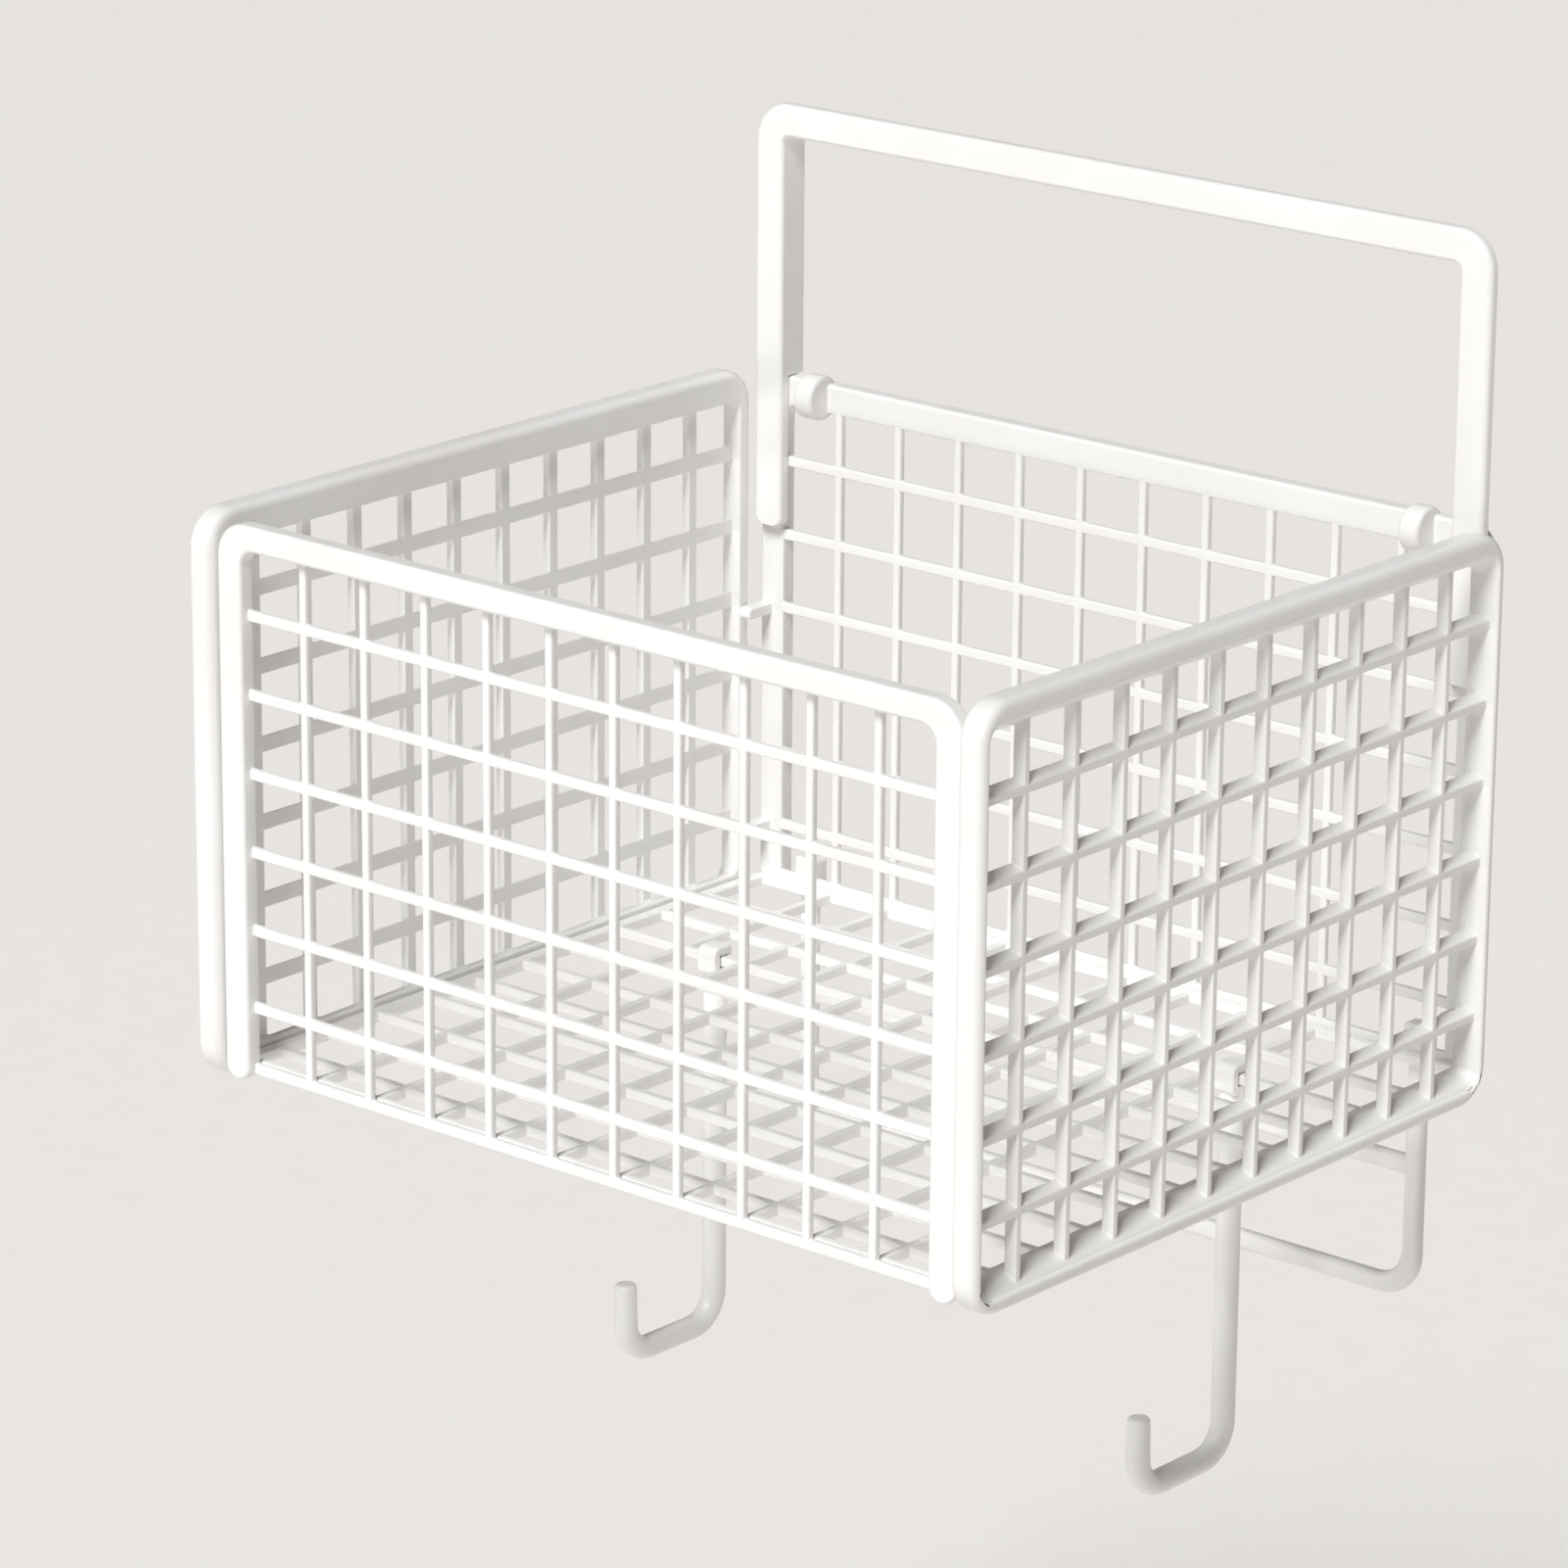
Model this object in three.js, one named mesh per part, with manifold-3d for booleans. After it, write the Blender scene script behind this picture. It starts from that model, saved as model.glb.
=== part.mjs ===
// Wall basket: five moulded grilles snapped into a box, an inverted U hanger riveted to the back,
// a lower loop plugged in below it, and two J hooks clipped on bars of the floor.
// Millimetres. +X is to the right, -Y to the front, +Y towards the wall, +Z up. The origin is the
// middle of the underside of the hanger's top bar, where the basket hangs on a rail.
import * as THREE from "three";
import { mergeVertices } from "three/addons/utils/BufferGeometryUtils.js";
import Module from "manifold-3d";

const wasm = await Module();
wasm.setup();

// Driving dimensions of the basket
const GAP = 0.3; // between pieces that touch
const BASKET_WIDTH = 233.2; // between the inner faces of the side panels
const BASKET_DEPTH = 200.3; // of a side panel
const BASKET_HEIGHT = 145.7; // of a side panel
const SIDE_TOP = -62.6; // height of the side panels' rims
const FRONT_DROP = 1.4; // the front panel's top below the side rims
const FRONT_SETBACK = 2.4; // the front panel's face behind the side panels' front edges
const BACK_CLEARANCE = 3.6; // from the side panels' rear edges to the back panel
const PITCH_X = 20; // from bar to bar across the front, back and floor
const PITCH_Y = 17.94; // from bar to bar along the sides and floor
const PITCH_Z = 20.1; // from row to row

// Front and back panels
const FRAME_THICK = 4.5;
const POST_WIDTH = 7.8;
const FRONT_RAIL = 6.6;
const BACK_RAIL = 7.8;
const BACK_BOTTOM_RAIL = 4.6;
const FRAME_CORNER = 9;
const FRAME_INNER_CORNER = 4.2;
const FRAME_EDGE = 0.6; // rounding of the frames' edges
const GRID_THICK = 2;
const BAR_WIDTH = 2.2;
const ROW_HEIGHT = 2.8;
const FIRST_ROW = 16.9; // from the top rail to the first row's middle
const FOOT_LENGTH = 1.5; // the posts' ends below the bottom rail

// Side panels
const SIDE_THICK = 7.5;
const SIDE_CORNER = 9.5;
const SIDE_EDGE = 1.6; // rounding of the rim's edges
const SIDE_TOP_RAIL = 6.9;
const SIDE_POST = 4.9;
const SIDE_BOTTOM_RAIL = 3.9;
const SIDE_FIRST_BAR = 13.6; // from the front post to the first bar's middle
const SIDE_FIRST_ROW = 15.9;
const SIDE_LAND_DEPTH = 1.9; // the bars' outer face behind the rim's
const SIDE_BAR_DEPTH = 3;
const SIDE_BAR_WIDTH = 1.7;
const SIDE_ROW_HEIGHT = 3;
const SIDE_DRAFT = 0.7; // each wall of an opening leans in by this over a bar's depth
const RIM_SLOPE = 1.4; // the rim's inner walls lean in by this
const LEDGE_SLOPE = 3; // the bottom rail's ledge rises by this

// Floor
const FLOOR_THICK = 2.7;
const FLOOR_RAIL = 3.4;
const FLOOR_HEIGHT = 4.3; // the floor's middle above the side panels' lower edges

// Snap pegs
const PEG_DIAMETER = 2.2;
const PEG_LENGTH = 3.1;
const PEG_INSET = 3.8; // from a side panel's edge to a peg's middle
const PEG_SIDES = 10;
const ARM_HEIGHT = 3;
const ARM_WIDTH = 3.9;

// Hanger
const HANGER_WIDTH = 232.2;
const HANGER_RISE = 8.6; // height of its top bar's face
const HANGER_FLANGE = 9.2; // width of its limbs
const HANGER_THICK = 3.1;
const HANGER_DEPTH = 9.25; // over the lip
const HANGER_LIP = 2.4;
const HANGER_CORNER = 10;
const HANGER_INNER_CORNER = 2.2;
const HANGER_EDGE = 0.5;
const TONGUE_LENGTH = 40.3; // below the back panel's top
const TONGUE_CORNER = 2.2;

// Round lugs on the back panel's top rail
const LUG_DIAMETER = 12;
const LUG_WIDTH = 6;
const LUG_RISE = 2.5;
const LUG_INSET = 10.2; // from the hanger limb's inner edge to a lug's middle

// Rivets
const RIVET_SHANK = 2.8;
const RIVET_HEAD = 5.2;
const RIVET_HEAD_THICK = 1.4;
const RIVET_SEAT = 2.2; // depth of the blind hole in the tongue
const RIVET_INSET = 3.7; // from the hanger's side to a rivet's middle
const RIVET_PAD = 6.4; // width of the back panel's wall around a rivet
const RIVET_FIRST = 9.5; // below the back panel's top
const RIVET_SPACING = 22;
const RIVET_SIDES = 14;

// Lower loop
const LOOP_WIDTH = 204.8;
const LOOP_BAR = 5.2;
const LOOP_DEPTH = 4;
const LOOP_CROSS_BAR = 25.7; // from the back panel's bottom rail down to the cross bar's top
const LOOP_LENGTH = 64.1; // from the back panel's bottom rail down to the loop's lower edge
const LOOP_CORNER = 11.5;
const LOOP_INNER_CORNER = 8;
const LOOP_EDGE = 1.2;
const PLUG_LENGTH = 8;
const PLUG_WIDTH = 3.6;
const PLUG_THICK = 2;
const SOCKET_WALL = 1.6;

// Hooks
const HOOK_ROD = 6.2;
const HOOK_DROP = 103; // from the bar's middle down to the hook's lowest point
const HOOK_REACH = 34.7; // from the shank's middle to the tip's
const HOOK_TIP = 23; // height of the tip above the lowest point
const HOOK_BEND = 9;
const HOOK_SIDES = 10;
const HOOK_STEPS = 36;
const JAW_WALL = 2.4;
const JAW_MOUTH = 2.1;
const HOOK_LEFT_X = -79.4;
const HOOK_LEFT_BAR = 7; // the floor bar that carries the hook, counted from the front
const HOOK_RIGHT_X = 74.7;
const HOOK_RIGHT_BAR = 8;

// Facets
const ARC_STEPS = 3;

// Places that follow from them
const sideBack = -HANGER_DEPTH / 2 - 0.2;
const sideFront = sideBack - BASKET_DEPTH;
const sideBottom = SIDE_TOP - BASKET_HEIGHT;
const innerX = BASKET_WIDTH / 2;
const outerX = innerX + SIDE_THICK;
const frameHalf = innerX - GAP;
const openHalf = frameHalf - POST_WIDTH;
const frontFace = sideFront + FRONT_SETBACK;
const frontBack = frontFace + FRAME_THICK;
const frontTop = SIDE_TOP - FRONT_DROP;
const backFace = sideBack + BACK_CLEARANCE;
const backRear = backFace + FRAME_THICK;
const backTop = frontTop - 0.5;
const floorMiddle = sideBottom + FLOOR_HEIGHT;
const railBottom = floorMiddle - ROW_HEIGHT / 2;
const frameBottom = railBottom - FOOT_LENGTH;
const hangerFront = -HANGER_DEPTH / 2;
const hangerRear = HANGER_DEPTH / 2;
const limbInner = HANGER_WIDTH / 2 - HANGER_FLANGE;
const lugX = limbInner - LUG_INSET;
const rivetX = HANGER_WIDTH / 2 - RIVET_INSET;
const loopLimbX = (LOOP_WIDTH - LOOP_BAR) / 2;
const columnHalf = PITCH_X * (Math.floor((2 * openHalf) / PITCH_X) - 1) / 2;

// A closed mesh's geometry as a solid that can be joined and cut
function asSolid(geometry) {
  const bare = geometry.index ? geometry.toNonIndexed() : geometry.clone();
  bare.deleteAttribute("normal");
  bare.deleteAttribute("uv");
  bare.clearGroups();
  const merged = mergeVertices(bare, 1e-4);
  return new wasm.Manifold(new wasm.Mesh({
    numProp: 3,
    vertProperties: new Float32Array(merged.attributes.position.array),
    triVerts: new Uint32Array(merged.index.array),
  }));
}

// A solid as flat-shaded geometry
function asGeometry(solid) {
  const mesh = solid.getMesh();
  const geometry = new THREE.BufferGeometry();
  geometry.setAttribute("position", new THREE.BufferAttribute(new Float32Array(mesh.vertProperties), 3));
  geometry.setIndex(new THREE.BufferAttribute(new Uint32Array(mesh.triVerts), 1));
  const flat = geometry.toNonIndexed();
  flat.computeVertexNormals();
  return flat;
}

function join(solids) {
  return solids.reduce((sum, next) => sum.add(next));
}

function cut(solid, tools) {
  return solid.subtract(join(tools));
}

function block(x, y, z) {
  const geometry = new THREE.BoxGeometry(x[1] - x[0], y[1] - y[0], z[1] - z[0]);
  geometry.translate((x[0] + x[1]) / 2, (y[0] + y[1]) / 2, (z[0] + z[1]) / 2);
  return asSolid(geometry);
}

function cylinderX(diameter, x, y, z, sides) {
  const geometry = new THREE.CylinderGeometry(diameter / 2, diameter / 2, x[1] - x[0], sides);
  geometry.rotateZ(-Math.PI / 2);
  geometry.translate((x[0] + x[1]) / 2, y, z);
  return asSolid(geometry);
}

function cylinderY(diameter, x, y, z, sides) {
  const geometry = new THREE.CylinderGeometry(diameter / 2, diameter / 2, y[1] - y[0], sides);
  geometry.translate(x, (y[0] + y[1]) / 2, z);
  return asSolid(geometry);
}

// Extrudes an outline in X and Z along Y, with its edges rounded by the given size
function plateXZ(shape, y, edge) {
  const geometry = new THREE.ExtrudeGeometry(shape, {
    depth: y[1] - y[0] - 2 * edge,
    bevelEnabled: edge > 0,
    bevelSize: edge,
    bevelThickness: edge,
    bevelSegments: 1,
    curveSegments: ARC_STEPS,
  });
  geometry.rotateX(Math.PI / 2);
  geometry.translate(0, y[1] - edge, 0);
  return asSolid(geometry);
}

// Extrudes an outline in Y and Z along X, with its edges rounded by the given size
function plateYZ(shape, x, edge) {
  const geometry = new THREE.ExtrudeGeometry(shape, {
    depth: x[1] - x[0] - 2 * edge,
    bevelEnabled: edge > 0,
    bevelSize: edge,
    bevelThickness: edge,
    bevelSegments: 2,
    curveSegments: ARC_STEPS,
  });
  const turn = new THREE.Matrix4().makeBasis(
    new THREE.Vector3(0, 1, 0),
    new THREE.Vector3(0, 0, 1),
    new THREE.Vector3(1, 0, 0),
  );
  geometry.applyMatrix4(turn);
  geometry.translate(x[0] + edge, 0, 0);
  return asSolid(geometry);
}

// A rectangle with a radius at each corner: lower left, lower right, upper right, upper left
function roundedRect(a0, a1, b0, b1, radii, Kind = THREE.Shape) {
  const [lowLeft, lowRight, highRight, highLeft] = radii;
  const path = new Kind();
  path.moveTo(a0 + lowLeft, b0);
  path.lineTo(a1 - lowRight, b0);
  if (lowRight) path.absarc(a1 - lowRight, b0 + lowRight, lowRight, -Math.PI / 2, 0);
  path.lineTo(a1, b1 - highRight);
  if (highRight) path.absarc(a1 - highRight, b1 - highRight, highRight, 0, Math.PI / 2);
  path.lineTo(a0 + highLeft, b1);
  if (highLeft) path.absarc(a0 + highLeft, b1 - highLeft, highLeft, Math.PI / 2, Math.PI);
  if (lowLeft) path.absarc(a0 + lowLeft, b0 + lowLeft, lowLeft, Math.PI, 1.5 * Math.PI);
  return path;
}

// An inverted U: an outer rectangle less the space between its legs. All sizes are the finished
// ones; the outline is drawn in by the rounding that the extrusion adds back.
function archShape(half, bottom, top, leg, rail, corners, edge) {
  const [outerRadius, innerRadius, footRadius] = corners;
  const out = half - edge;
  const inn = half - leg + edge;
  const low = bottom + edge;
  const high = top - edge;
  const under = top - rail + edge;
  const outer = Math.max(outerRadius - edge, 0.5);
  const inner = innerRadius + edge;
  const foot = Math.max(footRadius - edge, 0.2);
  const shape = new THREE.Shape();
  shape.moveTo(-out + foot, low);
  shape.lineTo(-inn - foot, low);
  shape.absarc(-inn - foot, low + foot, foot, -Math.PI / 2, 0);
  shape.lineTo(-inn, under - inner);
  shape.absarc(-inn + inner, under - inner, inner, Math.PI, Math.PI / 2, true);
  shape.lineTo(inn - inner, under);
  shape.absarc(inn - inner, under - inner, inner, Math.PI / 2, 0, true);
  shape.lineTo(inn, low + foot);
  shape.absarc(inn + foot, low + foot, foot, Math.PI, 1.5 * Math.PI);
  shape.lineTo(out - foot, low);
  shape.absarc(out - foot, low + foot, foot, -Math.PI / 2, 0);
  shape.lineTo(out, high - outer);
  shape.absarc(out - outer, high - outer, outer, 0, Math.PI / 2);
  shape.lineTo(-out + outer, high);
  shape.absarc(-out + outer, high - outer, outer, Math.PI / 2, Math.PI);
  shape.lineTo(-out, low + foot);
  shape.absarc(-out + foot, low + foot, foot, Math.PI, 1.5 * Math.PI);
  return shape;
}

// Middles of a pattern that starts at first and keeps at least half a pitch from last
function pattern(first, last, pitch) {
  const places = [];
  for (let at = first; at < last - pitch / 2; at += pitch) places.push(at);
  return places;
}

const columnsX = pattern(-columnHalf, openHalf, PITCH_X);
const columnsY = pattern(
  sideFront + SIDE_POST + SIDE_FIRST_BAR,
  sideBack - SIDE_POST,
  PITCH_Y,
);
const frontRows = pattern(
  -(frontTop - FRONT_RAIL - FIRST_ROW),
  -floorMiddle,
  PITCH_Z,
).map((depth) => -depth);
const sideRows = pattern(
  -(SIDE_TOP - SIDE_TOP_RAIL - SIDE_FIRST_ROW),
  -(sideBottom + SIDE_BOTTOM_RAIL),
  PITCH_Z,
).map((depth) => -depth);
const rearArms = [sideRows[2], sideRows[sideRows.length - 1]].map((row) => row - ARM_HEIGHT);
const frontPegs = [frontRows[0], frontRows[2], frontRows[frontRows.length - 1]];
const floorPegs = [columnsY[1], columnsY[Math.floor(columnsY.length / 2)], columnsY[columnsY.length - 2]];

// The clear spaces between the rails at both ends and the bars whose middles are given
function clearSpaces(start, end, middles, width) {
  const from = [start, ...middles.map((at) => at + width / 2)];
  const to = [...middles.map((at) => at - width / 2), end];
  return from.map((low, index) => [low, to[index]]);
}

// The set-back grid of a front or back panel, with its bottom rail
function gridXZ(y, top, rail, bottomRail) {
  const plate = block([-openHalf - 1, openHalf + 1], y, [railBottom, top - 2]);
  const through = [y[0] - 1, y[1] + 1];
  const spacesX = clearSpaces(-openHalf, openHalf, columnsX, BAR_WIDTH);
  const spacesZ = clearSpaces(railBottom + bottomRail, top - rail, [...frontRows].reverse(), ROW_HEIGHT);
  return cut(plate, spacesX.flatMap((x) => spacesZ.map((z) => block(x, through, z))));
}

function frontPanel() {
  const grid = [frontBack - GRID_THICK, frontBack];
  const frame = plateXZ(
    archShape(frameHalf, frameBottom, frontTop, POST_WIDTH, FRONT_RAIL,
      [FRAME_CORNER, FRAME_INNER_CORNER, POST_WIDTH / 2], FRAME_EDGE),
    [frontFace, frontBack],
    FRAME_EDGE,
  );
  const pegs = frontPegs.flatMap((z) => [-1, 1].map((side) => peg(side, sideFront + PEG_INSET, z)));
  return join([frame, gridXZ(grid, frontTop, FRONT_RAIL, ROW_HEIGHT), ...pegs]);
}

// A snap peg on the outer face of a panel between the side panels
function peg(side, y, z) {
  const x = [frameHalf - 1, innerX + PEG_LENGTH];
  return cylinderX(PEG_DIAMETER, side > 0 ? x : [-x[1], -x[0]], y, z, PEG_SIDES);
}

// A hole for such a peg in a side panel's inner face
function pegHole(y, z) {
  return cylinderX(PEG_DIAMETER + 2 * GAP, [innerX - 1, innerX + PEG_LENGTH + GAP], y, z, PEG_SIDES);
}

function backPanel() {
  const grid = [backFace, backFace + GRID_THICK];
  const frame = plateXZ(
    archShape(frameHalf, frameBottom, backTop, POST_WIDTH, BACK_RAIL,
      [FRAME_CORNER, FRAME_INNER_CORNER, POST_WIDTH / 2], FRAME_EDGE),
    [backFace, backRear],
    FRAME_EDGE,
  );
  const extras = [];
  const tools = [];
  for (const side of [-1, 1]) {
    const boss = PLUG_WIDTH / 2 + GAP + SOCKET_WALL;
    const hole = PLUG_WIDTH / 2 + GAP;
    const middle = side * loopLimbX;
    extras.push(block([middle - boss, middle + boss], [backFace, backRear],
      [railBottom, railBottom + PLUG_LENGTH + GAP + SOCKET_WALL]));
    tools.push(block([middle - hole, middle + hole], plugPlace(GAP),
      [railBottom - 1, railBottom + PLUG_LENGTH + GAP]));
    for (const z of rearArms) {
      const inner = frameHalf - ARM_WIDTH;
      const x = side > 0 ? [inner, frameHalf] : [-frameHalf, -inner];
      extras.push(block(x, [sideBack - PEG_INSET - PEG_DIAMETER / 2 - 0.3, backFace + 1],
        [z - ARM_HEIGHT / 2, z + ARM_HEIGHT / 2]));
      extras.push(peg(side, sideBack - PEG_INSET, z));
    }
    const lug = [side * lugX - LUG_WIDTH / 2, side * lugX + LUG_WIDTH / 2];
    extras.push(cylinderX(LUG_DIAMETER, lug, backRear - LUG_DIAMETER / 2 + GAP,
      backTop + LUG_RISE - LUG_DIAMETER / 2, 2 * PEG_SIDES));
    for (const z of rivetPlaces()) {
      extras.push(block(padPlace(side), [backFace, backRear], [z - RIVET_PAD / 2, z + RIVET_PAD / 2]));
      tools.push(cylinderY(RIVET_SHANK + 2 * GAP, side * rivetX, [backFace - 1, backRear + 1], z,
        RIVET_SIDES));
      tools.push(cylinderY(RIVET_HEAD + 2 * GAP, side * rivetX,
        [backRear - RIVET_HEAD_THICK - GAP, backRear + 1], z, RIVET_SIDES));
    }
  }
  return cut(join([frame, gridXZ(grid, backTop, BACK_RAIL, BACK_BOTTOM_RAIL), ...extras]), tools);
}

function rivetPlaces() {
  return [backTop - RIVET_FIRST, backTop - RIVET_FIRST - RIVET_SPACING];
}

// The wall that carries a rivet: it runs from the post to wherever the hanger's tongue is
function padPlace(side) {
  const inner = Math.min(rivetX - RIVET_PAD / 2, openHalf + FRAME_EDGE);
  const outer = Math.max(rivetX + RIVET_PAD / 2, frameHalf - FRAME_EDGE);
  return side > 0 ? [inner, outer] : [-outer, -inner];
}

function plugPlace(room) {
  const middle = (backFace + backRear) / 2;
  return [middle - PLUG_THICK / 2 - room, middle + PLUG_THICK / 2 + room];
}

// A closed block between two rectangles in the planes x = inner.x and x = outer.x
function funnel(inner, outer) {
  const corners = [inner, outer].flatMap((r) => [
    [r.x, r.y0, r.z0], [r.x, r.y1, r.z0], [r.x, r.y1, r.z1], [r.x, r.y0, r.z1],
  ]);
  const faces = [
    0, 3, 2, 0, 2, 1, 4, 5, 6, 4, 6, 7, 0, 1, 5, 0, 5, 4,
    1, 2, 6, 1, 6, 5, 2, 3, 7, 2, 7, 6, 3, 0, 4, 3, 4, 7,
  ];
  const geometry = new THREE.BufferGeometry();
  geometry.setAttribute("position", new THREE.Float32BufferAttribute(corners.flat(), 3));
  geometry.setIndex(faces);
  return asSolid(geometry);
}

// The rim's inner walls at a depth: they lean in from the rim's outer face to the bars' back
function rimAt(x) {
  const share = (outerX - x) / (SIDE_LAND_DEPTH + SIDE_BAR_DEPTH);
  return {
    x,
    y0: sideFront + SIDE_POST + RIM_SLOPE * share,
    y1: sideBack - SIDE_POST - RIM_SLOPE * share,
    z0: sideBottom + SIDE_BOTTOM_RAIL + LEDGE_SLOPE * share,
    z1: SIDE_TOP - SIDE_TOP_RAIL - RIM_SLOPE * share,
  };
}

// One opening between bars at a depth, with the rim's walls where it has no bar beside it
function openingAt(x, column, row) {
  const rim = rimAt(x);
  const lean = SIDE_DRAFT * (outerX - SIDE_LAND_DEPTH - x) / SIDE_BAR_DEPTH;
  const bar = SIDE_BAR_WIDTH / 2 + lean;
  const beam = SIDE_ROW_HEIGHT / 2 + lean;
  return {
    x,
    y0: column > 0 ? columnsY[column - 1] + bar : rim.y0,
    y1: column < columnsY.length ? columnsY[column] - bar : rim.y1,
    z0: row < sideRows.length ? sideRows[row] + beam : rim.z0,
    z1: row > 0 ? sideRows[row - 1] - beam : rim.z1,
  };
}

// The right side panel; the left one is its mirror image
function sidePanel() {
  const barBack = outerX - SIDE_LAND_DEPTH - SIDE_BAR_DEPTH;
  const land = outerX - SIDE_LAND_DEPTH;
  const inset = SIDE_EDGE;
  const corner = SIDE_CORNER - inset;
  const outline = roundedRect(sideFront + inset, sideBack - inset, sideBottom + inset, SIDE_TOP - inset,
    [corner, corner, corner, corner]);
  const plate = plateYZ(outline, [innerX, outerX], inset);
  const tools = [funnel(rimAt(land), rimAt(outerX + 1))];
  const recess = rimAt(barBack);
  tools.push(block([innerX - 1, barBack], [recess.y0, recess.y1], [recess.z0, recess.z1]));
  for (let column = 0; column <= columnsY.length; column += 1) {
    for (let row = 0; row <= sideRows.length; row += 1) {
      tools.push(funnel(openingAt(barBack - 0.5, column, row), openingAt(land + 0.5, column, row)));
    }
  }
  frontPegs.forEach((z) => tools.push(pegHole(sideFront + PEG_INSET, z)));
  rearArms.forEach((z) => tools.push(pegHole(sideBack - PEG_INSET, z)));
  floorPegs.forEach((y) => tools.push(pegHole(y, floorMiddle)));
  return cut(plate, tools);
}

function floorPanel() {
  const y = [frontBack + GAP, backFace - GAP];
  const z = [floorMiddle - FLOOR_THICK / 2, floorMiddle + FLOOR_THICK / 2];
  const plate = block([-frameHalf, frameHalf], y, z);
  const through = [z[0] - 1, z[1] + 1];
  const spacesX = clearSpaces(-frameHalf + FLOOR_RAIL, frameHalf - FLOOR_RAIL, columnsX, BAR_WIDTH);
  const spacesY = clearSpaces(y[0] + BAR_WIDTH, y[1] - BAR_WIDTH, columnsY, BAR_WIDTH);
  const openings = spacesX.flatMap((across) => spacesY.map((along) => block(across, along, through)));
  const pegs = floorPegs.flatMap((at) => [-1, 1].map((side) => peg(side, at, floorMiddle)));
  return join([cut(plate, openings), ...pegs]);
}

function hangerFrame() {
  const corners = [HANGER_CORNER, HANGER_INNER_CORNER, TONGUE_CORNER];
  const flange = plateXZ(
    archShape(HANGER_WIDTH / 2, backTop - TONGUE_LENGTH, HANGER_RISE, HANGER_FLANGE, HANGER_RISE,
      corners, HANGER_EDGE),
    [hangerFront, hangerFront + HANGER_THICK],
    HANGER_EDGE,
  );
  const lip = plateXZ(
    archShape(limbInner + HANGER_LIP, backTop + GAP, HANGER_LIP, HANGER_LIP, HANGER_LIP,
      [HANGER_INNER_CORNER + HANGER_LIP, HANGER_INNER_CORNER, 0.6], 0),
    [hangerFront + HANGER_THICK / 2, hangerRear],
    0,
  );
  const seats = [-1, 1].flatMap((side) => rivetPlaces().map((z) =>
    cylinderY(RIVET_SHANK + 2 * GAP, side * rivetX,
      [hangerFront + HANGER_THICK - RIVET_SEAT, hangerFront + HANGER_THICK + 1], z, RIVET_SIDES)));
  return cut(flange.add(lip), seats);
}

function rivet() {
  const tip = hangerFront + HANGER_THICK - RIVET_SEAT + GAP;
  const under = backRear - RIVET_HEAD_THICK;
  const profile = [
    [0, tip], [RIVET_SHANK / 2, tip], [RIVET_SHANK / 2, under],
    [RIVET_HEAD / 2, under], [RIVET_HEAD / 2, backRear - GAP / 2], [0, backRear - GAP / 2],
  ].map(([radius, y]) => new THREE.Vector2(radius, y));
  return new THREE.LatheGeometry(profile, RIVET_SIDES);
}

function lowerLoop() {
  const middle = (backFace + backRear) / 2;
  const y = [middle - LOOP_DEPTH / 2, middle + LOOP_DEPTH / 2];
  const top = railBottom - GAP;
  const half = LOOP_WIDTH / 2;
  const low = railBottom - LOOP_LENGTH;
  const crossTop = railBottom - LOOP_CROSS_BAR;
  const e = LOOP_EDGE;
  const shape = new THREE.Shape();
  const corner = LOOP_CORNER - e;
  shape.moveTo(-half + e, top - e);
  shape.lineTo(-half + e, low + e + corner);
  shape.absarc(-half + e + corner, low + e + corner, corner, Math.PI, 1.5 * Math.PI);
  shape.lineTo(half - e - corner, low + e);
  shape.absarc(half - e - corner, low + e + corner, corner, -Math.PI / 2, 0);
  shape.lineTo(half - e, top - e);
  shape.lineTo(half - LOOP_BAR + e, top - e);
  shape.lineTo(half - LOOP_BAR + e, crossTop - e);
  shape.lineTo(-half + LOOP_BAR - e, crossTop - e);
  shape.lineTo(-half + LOOP_BAR - e, top - e);
  shape.closePath();
  const inner = LOOP_INNER_CORNER + e;
  shape.holes.push(roundedRect(-half + LOOP_BAR - e, half - LOOP_BAR + e,
    low + LOOP_BAR - e, crossTop - LOOP_BAR + e, [inner, inner, 0, 0], THREE.Path));
  const plugs = [-1, 1].map((side) =>
    block([side * loopLimbX - PLUG_WIDTH / 2, side * loopLimbX + PLUG_WIDTH / 2], plugPlace(0),
      [top - 2, railBottom + PLUG_LENGTH]));
  return join([plateXZ(shape, y, e), ...plugs]);
}

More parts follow.
